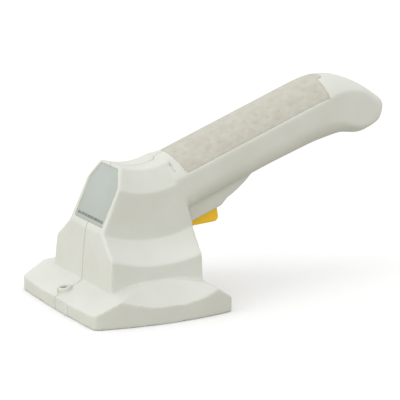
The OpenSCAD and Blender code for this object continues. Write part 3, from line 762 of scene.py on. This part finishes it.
def openings(side, crown):
    """Everything cut out of a casing; side is 1 for the right and -1 for the left."""
    # Recess for the pad, and the one for the panel
    start, end = pad_ends(ACROSS)
    turn = np.arctan2(ACROSS, SQUARE - crown_height(ALONG) + CROWN_R)
    under_pad = np.maximum(np.maximum(start - ALONG, ALONG - end), CROWN_R * (turn - PAD_HALF_TURN + 0.02))
    cuts = [np.maximum(under_pad, -crown - PAD_T - FIT)]
    panel = outline_distance(PANEL, X, UP_FACE) + FIT / 2
    cuts.append(np.maximum(panel, -PANEL_T - FIT - OUT_FACE))
    cuts.append(np.maximum(outline_distance(TRIGGER_OPENING, Y, Z), ACROSS - TRIGGER_OPENING_HW))
    # Front screw's shank and seat, and the well of its ring
    up, out = on_slope(SCREW_Y, SCREW_Z, SCREW_SLOPE)
    cuts.append(np.maximum(np.hypot(X, up) - FRONT_SHANK_R, np.abs(out + 7) - 7))
    cuts.append(np.maximum(np.hypot(X, up) - FRONT_HEAD_R, np.abs(out + 0.1) - 0.8))
    up, out = on_slope(*RING)
    cuts.append(np.maximum(np.hypot(X, up) - RING_WELL_R, np.abs(out - 6) - 8.6))
    # Trigger pin's bearing and the charging socket's hole
    cuts.append(rod_across(PIVOT, PIN_R) + np.maximum(ACROSS - PIN_REACH, 0))
    cuts.append(np.maximum(np.hypot(X, SQUARE - SOCKET_P) - SOCKET_R, SOCKET_A - 7 - ALONG))
    a, half_width, x, half_length = SLIT
    slit = np.maximum(np.abs(ALONG - a) - half_width, np.abs(ACROSS - x) - half_length)
    cuts.append(np.maximum(np.maximum(slit, -SQUARE), 0.1 - crown))
    for x, y in CORNER_POSTS:
        cuts.append(np.maximum(np.hypot(ACROSS - x, Y - y) - THREAD_R, Z - 10))
    x, up, radius = LIGHT_HOLE
    light = np.hypot(ACROSS - x, UP_FACE - up) - radius
    cuts.append(np.maximum(light, np.abs(OUT_FACE + 1) - 3))
    # The screws come from the left: a head and shank there, and a thread on the right
    for boss in CASING_BOSSES:
        if side > 0:
            cuts.append(np.maximum(rod_across(boss, THREAD_R), ACROSS - SCREW_REACH - 0.5))
        else:
            cuts.append(rod_across(boss, SHANK_R) + 0 * X)
            cuts.append(np.maximum(rod_across(boss, HEAD_R), SCREW_REACH - ACROSS))
    return union(cuts)


def screw_ring():
    """The raised ring around the front screw, its top nearly level."""
    up, out = on_slope(*RING)
    return soften(np.maximum(np.hypot(X, up) - RING_R, np.maximum(out, -4.6 - out)), 0.35)


def skin(field):
    """Closed quads around the inside of a sampled field: one point in each cell that the surface
    crosses, at the middle of the crossings, and one quad around each crossed edge."""
    places, owners, rings = [], [], []
    cells = np.array(field.shape)
    for axis in range(3):
        first = [slice(None)] * 3
        second = [slice(None)] * 3
        first[axis] = slice(0, -1)
        second[axis] = slice(1, None)
        low, high = field[tuple(first)], field[tuple(second)]
        edge = np.argwhere((low < 0) != (high < 0))
        one, two = (axis + 1) % 3, (axis + 2) % 3
        edge = edge[(edge[:, one] > 0) & (edge[:, two] > 0)]
        start, end = low[tuple(edge.T)], high[tuple(edge.T)]
        place = edge.astype(float)
        place[:, axis] += start / (start - end)
        ring = []
        for back_one, back_two in ((0, 0), (1, 0), (1, 1), (0, 1)):
            cell = edge.copy()
            cell[:, one] -= back_one
            cell[:, two] -= back_two
            ring.append(np.ravel_multi_index(cell.T, cells))
            places.append(place)
            owners.append(ring[-1])
        ring = np.stack(ring, 1)
        ring[start >= 0] = ring[start >= 0][:, ::-1]
        rings.append(ring)
    used, index = np.unique(np.concatenate(owners), return_inverse=True)
    places = np.concatenate(places)
    count = np.bincount(index)
    points = np.stack([np.bincount(index, places[:, k]) / count for k in range(3)], 1)
    quads = np.searchsorted(used, np.concatenate(rings))
    for axis, values in enumerate(GRID):
        points[:, axis] = np.interp(points[:, axis], np.arange(len(values)), values)
    return points, quads


def add_casings():
    crown = crown_field()
    outer = np.minimum(outer_field(crown), screw_ring())
    cavity = np.maximum(outer + WALL, np.minimum(crown + PAD_T + WALL, ALONG + 3))
    shell = np.minimum(np.maximum(outer, -cavity), np.maximum(outer, inner_features()))
    mouth = ACROSS - SEAM_MOUTH - SEAM_TAPER * outer
    slot = np.maximum(ACROSS - SEAM_HW, -SEAM_DEPTH - outer)
    groove = np.minimum(mouth, slot)
    shell = np.maximum(np.maximum(shell, -Z), np.maximum(-X, -groove))
    for side, name in ((1, "right_casing"), (-1, "left_casing")):
        half = np.maximum(shell, -openings(side, crown))
        points, quads = skin(half)
        points[:, 0] = np.maximum(points[:, 0], 0) + PARTING_GAP
        points[:, 2] = np.maximum(points[:, 2], 0)
        if side < 0:
            points[:, 0] *= -1
            quads = quads[:, ::-1]
        piece = add_piece(name + "_moulding", points, quads, "casing_abs")
        piece.data.set_sharp_from_angle(angle=math.radians(50))
        fit_to_body(piece, "housing", "casing_abs", name)


# ---- Grip pad: a crowned elastomer pad with staggered dimples ----

DIMPLE_PITCH = 8.2
DIMPLE_ROW = 4.6
DIMPLE_D = 4.4
DIMPLE_DEPTH = 0.42
# Dimples stay this far from the pad's rim
DIMPLE_MARGIN = 2.6
# Distance added across the pad so that its rows count up from one edge
ROW_ORIGIN = 60
# Points along and across the pad
PAD_POINTS = (230, 96)
# The pad runs this far under the ends of its recess
PAD_MARGIN = 0.2
# The pad stands this far above the crown, and falls by its edge drop over its edge width
PAD_LIFT = 0.4
PAD_EDGE_DROP = 0.3
PAD_EDGE_W = 1.2


def on_handle(x, a, p):
    """Place at x from the middle, a along the handle and p square to it."""
    y, z = side_point(a, p)
    return x, y, z


def new_tree(name, **kinds):
    """A Geometry Nodes tree and its inputs: the geometry, these others and the finish."""
    tree = bpy.data.node_groups.new(name, "GeometryNodeTree")
    for label, kind in {"Geometry": "Geometry", **kinds, "Finish": "Material"}.items():
        tree.interface.new_socket(label.replace("_", " "), in_out="INPUT", socket_type="NodeSocket" + kind)
    tree.interface.new_socket("Geometry", in_out="OUTPUT", socket_type="NodeSocketGeometry")
    return tree, tree.nodes.new("NodeGroupInput").outputs


def end_tree(tree, geometry, finish):
    """Ends a tree with plain geometry in this finish."""
    real = add_node(tree, "GeometryNodeRealizeInstances", Geometry=geometry)
    done = add_node(tree, "GeometryNodeSetMaterial", Geometry=real.outputs[0], Material=finish)
    tree.links.new(done.outputs[0], tree.nodes.new("NodeGroupOutput").inputs[0])


def dimple_tree():
    """Geometry Nodes that press staggered dimples into the pad along its place attribute."""
    tree, inputs = new_tree("press_dimples", Pitch="Float", Row_Spacing="Float", Diameter="Float",
                            Depth="Float")

    def maths(operation, first, second=0.0):
        made = add_node(tree, "ShaderNodeMath", {"operation": operation}, i0=first, i1=second)
        return made.outputs[0]

    place = add_node(tree, "GeometryNodeInputNamedAttribute", {"data_type": "FLOAT_VECTOR"}, Name="pad_place")
    parts = add_node(tree, "ShaderNodeSeparateXYZ", Vector=place.outputs["Attribute"]).outputs
    row = maths("FLOOR", maths("DIVIDE", parts["Y"], inputs["Row Spacing"]))
    stagger = maths("MULTIPLY", maths("FLOORED_MODULO", row, 2.0), maths("MULTIPLY", inputs["Pitch"], 0.5))
    along = maths("FLOORED_MODULO", maths("ADD", parts["X"], stagger), inputs["Pitch"])
    along = maths("SUBTRACT", along, maths("MULTIPLY", inputs["Pitch"], 0.5))
    across = maths("FLOORED_MODULO", parts["Y"], inputs["Row Spacing"])
    across = maths("SUBTRACT", across, maths("MULTIPLY", inputs["Row Spacing"], 0.5))
    squares = maths("ADD", maths("MULTIPLY", along, along), maths("MULTIPLY", across, across))
    reach = maths("SQRT", squares)
    bowl = add_node(tree, "ShaderNodeMapRange", {"interpolation_type": "SMOOTHERSTEP"}, Value=reach, i1=0.0,
                    i2=maths("MULTIPLY", inputs["Diameter"], 0.5), i3=1.0, i4=0.0).outputs["Result"]
    depth = maths("MULTIPLY", maths("MULTIPLY", bowl, parts["Z"]), maths("MULTIPLY", inputs["Depth"], -1.0))
    normal = tree.nodes.new("GeometryNodeInputNormal").outputs[0]
    push = add_node(tree, "ShaderNodeVectorMath", {"operation": "SCALE"}, i0=normal, Scale=depth)
    moved = add_node(tree, "GeometryNodeSetPosition", Geometry=inputs["Geometry"], Offset=push.outputs[0])
    end_tree(tree, moved.outputs[0], inputs["Finish"])
    return tree


def apply_tree(piece, tree, values):
    """Runs a Geometry Nodes tree on a piece with these named inputs and keeps the plain mesh."""
    modifier = piece.modifiers.new(tree.name, "NODES")
    modifier.node_group = tree
    for item in tree.interface.items_tree:
        if item.item_type == "SOCKET" and item.in_out == "INPUT" and item.name in values:
            modifier[item.identifier] = values[item.name]
    graph = bpy.context.evaluated_depsgraph_get()
    mesh = bpy.data.meshes.new_from_object(piece.evaluated_get(graph))
    piece.modifiers.clear()
    piece.data = mesh


def add_grip_pad():
    widest = PAD_HALF_TURN + 0.01
    rows, columns = PAD_POINTS
    points, places = [], []
    for layer in ("top", "bottom"):
        for step in np.linspace(0, 1, rows):
            for turn in np.linspace(-widest, widest, columns):
                start, end = pad_ends(CROWN_R * math.sin(turn))
                a = start - PAD_MARGIN + (end - start + 2 * PAD_MARGIN) * step
                axis = float(crown_height(a)) - CROWN_R
                rim = max(0.0, min(a - start, end - a, CROWN_R * (widest - abs(turn))))
                shoulder = PAD_EDGE_DROP * max(0.0, 1 - rim / PAD_EDGE_W) ** 2
                radius = CROWN_R + (PAD_LIFT - shoulder if layer == "top" else -PAD_T)
                points.append(on_handle(radius * math.sin(turn), a, axis + radius * math.cos(turn)))
                pressed = 1.0 if layer == "top" and rim > DIMPLE_MARGIN else 0.0
                places.append((a * MM, (CROWN_R * turn + ROW_ORIGIN) * MM, pressed))
    faces = []
    for i in range(rows - 1):
        for k in range(columns - 1):
            one = i * columns + k
            quad = [one, one + 1, one + columns + 1, one + columns]
            faces.append(quad)
            faces.append([q + rows * columns for q in quad[::-1]])
    border = ([k for k in range(columns)] + [i * columns + columns - 1 for i in range(1, rows)]
              + [(rows - 1) * columns + k for k in range(columns - 2, -1, -1)]
              + [i * columns for i in range(rows - 2, 0, -1)])
    for one, two in zip(border, border[1:] + border[:1]):
        faces.append([two, one, one + rows * columns, two + rows * columns])
    pad = add_piece("dimpled_grip_pad", points, faces, "grip_tpe")
    field = pad.data.attributes.new("pad_place", "FLOAT_VECTOR", "POINT")
    field.data.foreach_set("vector", np.array(places, np.float32).ravel())
    apply_tree(pad, dimple_tree(), {
        "Pitch": DIMPLE_PITCH * MM,
        "Row Spacing": DIMPLE_ROW * MM,
        "Diameter": DIMPLE_D * MM,
        "Depth": DIMPLE_DEPTH * MM,
        "Finish": FINISH["grip_tpe"],
    })
    outward(pad)
    fit_to_body(pad, "housing", "grip_tpe", "grip_pad")


# ---- Front panel and its printed line ----

PANEL_SET_BACK = 0.25
LABEL_OUTLINE = [(1.3, 1.2), (15.9, 1.2), (16.4, 1.7), (16.4, 6.5), (15.9, 7), (1.3, 7), (0.8, 6.5),
                 (0.8, 1.7)]
# Front and back of the label
LABEL_Y = (-43.75, -43.0)


def on_face(x, up, out):
    """Place at x from the middle, up the front face and out of it."""
    return (x, FACE_FOOT[0] + up * math.cos(FACE_SLOPE) - out * math.sin(FACE_SLOPE),
            FACE_FOOT[1] + up * math.sin(FACE_SLOPE) + out * math.cos(FACE_SLOPE))


def plate(outline, low, high, place):
    """Points and faces of a flat plate with this outline, from low to high."""
    count = len(outline)
    points = [place(u, v, low) for u, v in outline] + [place(u, v, high) for u, v in outline]
    faces = [list(range(count))[::-1], list(range(count, 2 * count))]
    for k in range(count):
        nxt = (k + 1) % count
        faces.append([k, nxt, count + nxt, count + k])
    return points, faces


def add_front_panel():
    panel = add_piece("front_panel_plate", *plate(PANEL, -PANEL_T, -PANEL_SET_BACK, on_face), "panel_abs")
    round_edges(panel, 0.35)
    fit_to_body(panel, "housing", "panel_abs", "front_panel")


def add_edge_label():
    """The blank label stuck on the front wall of the base."""
    sheet = plate(LABEL_OUTLINE, *LABEL_Y, lambda x, z, y: (x, y, z))
    label = add_piece("blank_edge_label", *sheet, "label_film")
    outward(label)
    label.data.set_sharp_from_angle(angle=math.radians(30))
    fit_to_body(label, "housing", "label_film", "edge_label")


def mark_tree():
    """Geometry Nodes that set a row of short printed dashes of uneven length on the panel."""
    tree, inputs = new_tree("printed_line", Count="Int", Line_Length="Float", Mark_Height="Float",
                            Ink_Thickness="Float", Place="Vector", Turn="Rotation")
    half = add_node(tree, "ShaderNodeMath", {"operation": "MULTIPLY"}, i0=inputs["Line Length"], i1=-0.5)
    step = add_node(tree, "ShaderNodeMath", {"operation": "DIVIDE"}, i0=inputs["Line Length"],
                    i1=inputs["Count"])
    first = add_node(tree, "ShaderNodeCombineXYZ", X=half.outputs[0])
    offset = add_node(tree, "ShaderNodeCombineXYZ", X=step.outputs[0])
    line = add_node(tree, "GeometryNodeMeshLine", Count=inputs["Count"], Start_Location=first.outputs[0],
                    Offset=offset.outputs[0])
    size = add_node(tree, "ShaderNodeCombineXYZ", X=step.outputs[0], Y=inputs["Mark Height"],
                    Z=inputs["Ink Thickness"])
    dash = add_node(tree, "GeometryNodeMeshCube", Size=size.outputs[0])
    length = add_node(tree, "FunctionNodeRandomValue", {"data_type": "FLOAT"}, i2=0.35, i3=0.8, Seed=7)
    scale = add_node(tree, "ShaderNodeCombineXYZ", X=length.outputs[1], Y=1.0, Z=1.0)
    marks = add_node(tree, "GeometryNodeInstanceOnPoints", Points=line.outputs[0], Instance=dash.outputs[0],
                     Scale=scale.outputs[0])
    placed = add_node(tree, "GeometryNodeTransform", Geometry=marks.outputs[0],
                      Translation=inputs["Place"], Rotation=inputs["Turn"])
    end_tree(tree, placed.outputs[0], inputs["Finish"])
    return tree


def add_printed_line():
    marks = add_piece("panel_printed_line", [(0, 0, 0), (1, 0, 0), (0, 1, 0)], [(0, 1, 2)], "mark_ink")
    apply_tree(marks, mark_tree(), {
        "Count": 22,
        "Line Length": 31 * MM,
        "Mark Height": 1.5 * MM,
        "Ink Thickness": 0.06 * MM,
        "Place": [c * MM for c in on_face(0.7, 6.4, 0.02 - PANEL_SET_BACK)],
        "Turn": (FACE_SLOPE, 0, 0),
        "Finish": FINISH["mark_ink"],
    })
    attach(marks, "housing")


# ---- Trigger, springs, leads and cells ----


# Side view of the trigger's wedge. Its hub is out of sight in the housing and is left out.
WEDGE = ([(31.5, 39.2), (52.4, 40.8)] + arc((52.4, 40.8), (55.2, 43.6), -0.8, 6)[1:]
         + [(54.3, 48.5), (52, 52), (42, 51), (36, 51), (31.5, 50)])


def add_trigger():
    """The amber wedge below the housing."""
    low, high = (Vector(c) * 1000 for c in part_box("trigger"))
    points, faces = plate(WEDGE, low.x, high.x, lambda y, z, x: (x, y, z))
    trigger = add_piece("trigger_wedge", points, faces, "trigger_abs")
    round_edges(trigger, 0.9, 4, 25)
    fit_to_body(trigger, "trigger_body", "trigger_abs", "trigger")


def helix(radius, low, high, turns, closed_turns, place, steps=22):
    """A coil's route from low to high, with closed_turns lying flat at each end."""
    count = int(turns * steps) + 1
    route = []
    for i in range(count):
        turn = i / steps
        share = np.clip((turn - closed_turns) / (turns - 2 * closed_turns), 0, 1)
        angle = 2 * math.pi * turn
        route.append(place(radius * math.cos(angle), radius * math.sin(angle), low + (high - low) * share))
    return route


def split_boxes(node):
    """Box of a node's part on each side of the sealer, for a node that is a pair."""
    points = np.array([v.co for v in frame["nodes"][node].data.vertices]) * 1000
    pair = [points[points[:, 0] > 0], points[points[:, 0] < 0]]
    return [(half.min(0), half.max(0)) for half in pair]


# Turns that lie flat at each end of an upright coil
CLOSED_TURNS = 0.8


def add_coils(name, node, wire, turns, finish):
    """A coil of round wire in each of a node's two places."""
    parts = []
    for low, high in split_boxes(node):
        centre = (low + high) / 2
        radius = (high[0] - low[0] - wire) / 2
        route = helix(radius, low[2] + wire / 2, high[2] - wire / 2, turns, CLOSED_TURNS,
                      lambda u, v, w: (centre[0] + u, centre[1] + v, w))
        parts.append(tube(route, wire / 2))
    coil = add_piece(name, *joined(parts), finish)
    outward(coil)
    return coil


def add_return_springs():
    springs = add_coils("return_coil_springs", "return_springs", 0.9, 7, "spring_steel")
    fit_to_body(springs, "housing", "spring_steel", "return_springs")
    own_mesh(springs)


def add_heater_leads():
    leads = add_coils("coiled_heater_leads", "heater_leads", 1.3, 8, "red_wire")
    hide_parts("heater_leads")
    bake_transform(leads)


def add_trigger_spring():
    low, high = (Vector(c) * 1000 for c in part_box("trigger_spring"))
    centre = (low + high) / 2
    wire = 0.7
    radius = (high.y - low.y - wire) / 2
    route = helix(radius, low.x + wire / 2, high.x - wire / 2, 3.6, 0.1,
                  lambda u, v, w: (w, centre.y + u, centre.z + v))
    spring = add_piece("torsion_spring", *tube(route, wire / 2), "spring_steel")
    outward(spring)
    fit_to_body(spring, "trigger_body", "spring_steel", "trigger_spring")


CELL_D = 14.2
CELL_LEN = 50
CELL_A = 11
CELL_GAP = 0.8
# Each cell's middle lies this much more than its radius from the middle of the handle
CELL_CLEARANCE = 0.25


def add_battery_cells():
    """Four sleeved cells, each with a rolled groove near its positive end."""
    r = CELL_D / 2
    profile = [(r - 1.6, 0.2), (r - 0.6, 0), (r - 0.15, 0.25), (r, 0.7), (r, 45.4), (r - 0.15, 45.8),
               (r - 0.7, 46.3), (r - 0.15, 46.8), (r, 47.2), (r, 48.3), (r - 0.3, 48.8), (r - 1.2, 49),
               (2.6, 49), (2.5, 49.8), (2.2, CELL_LEN)]
    parts = []
    for side in (-1, 1):
        for row in (0, 1):
            start = CELL_A + row * (CELL_LEN + CELL_GAP)
            x = side * (r + CELL_CLEARANCE)
            parts.append(lathe(profile, lambda u, v, w: on_handle(x + u, start + w, v)))
    cells = add_piece("sleeved_cells", *joined(parts), "blue_sleeve")
    outward(cells)
    cells.data.set_sharp_from_angle(angle=math.radians(40))
    fit_to_body(cells, "housing", "blue_sleeve", "battery_cells")


def add_floor():
    half = 3.0
    corners = [(-half, -half, 0), (half, -half, 0), (half, half, 0), (-half, half, 0)]
    mesh = bpy.data.meshes.new("floor")
    mesh.from_pydata(corners, [], [(0, 1, 2, 3)])
    material, tree, shader, _ = new_finish("pale_studio_floor")
    # Seen as white paper, but it throws back only as much light as a grey table
    seen = add_node(tree, "ShaderNodeLightPath").outputs["Is Camera Ray"]
    paper = blended(tree, seen, srgb("#B9B7AC"), srgb("#FAFAFA"))
    set_inputs(tree, shader, Base_Color=paper, Roughness=0.9)
    mesh.materials.append(material)
    floor = bpy.data.objects.new("floor", mesh)
    bpy.context.scene.collection.objects.link(floor)


add_camera()
add_studio()
add_floor()
finish_kept_nodes()
add_casings()
add_grip_pad()
add_front_panel()
add_edge_label()
add_printed_line()
add_trigger()
add_return_springs()
add_heater_leads()
add_trigger_spring()
add_battery_cells()
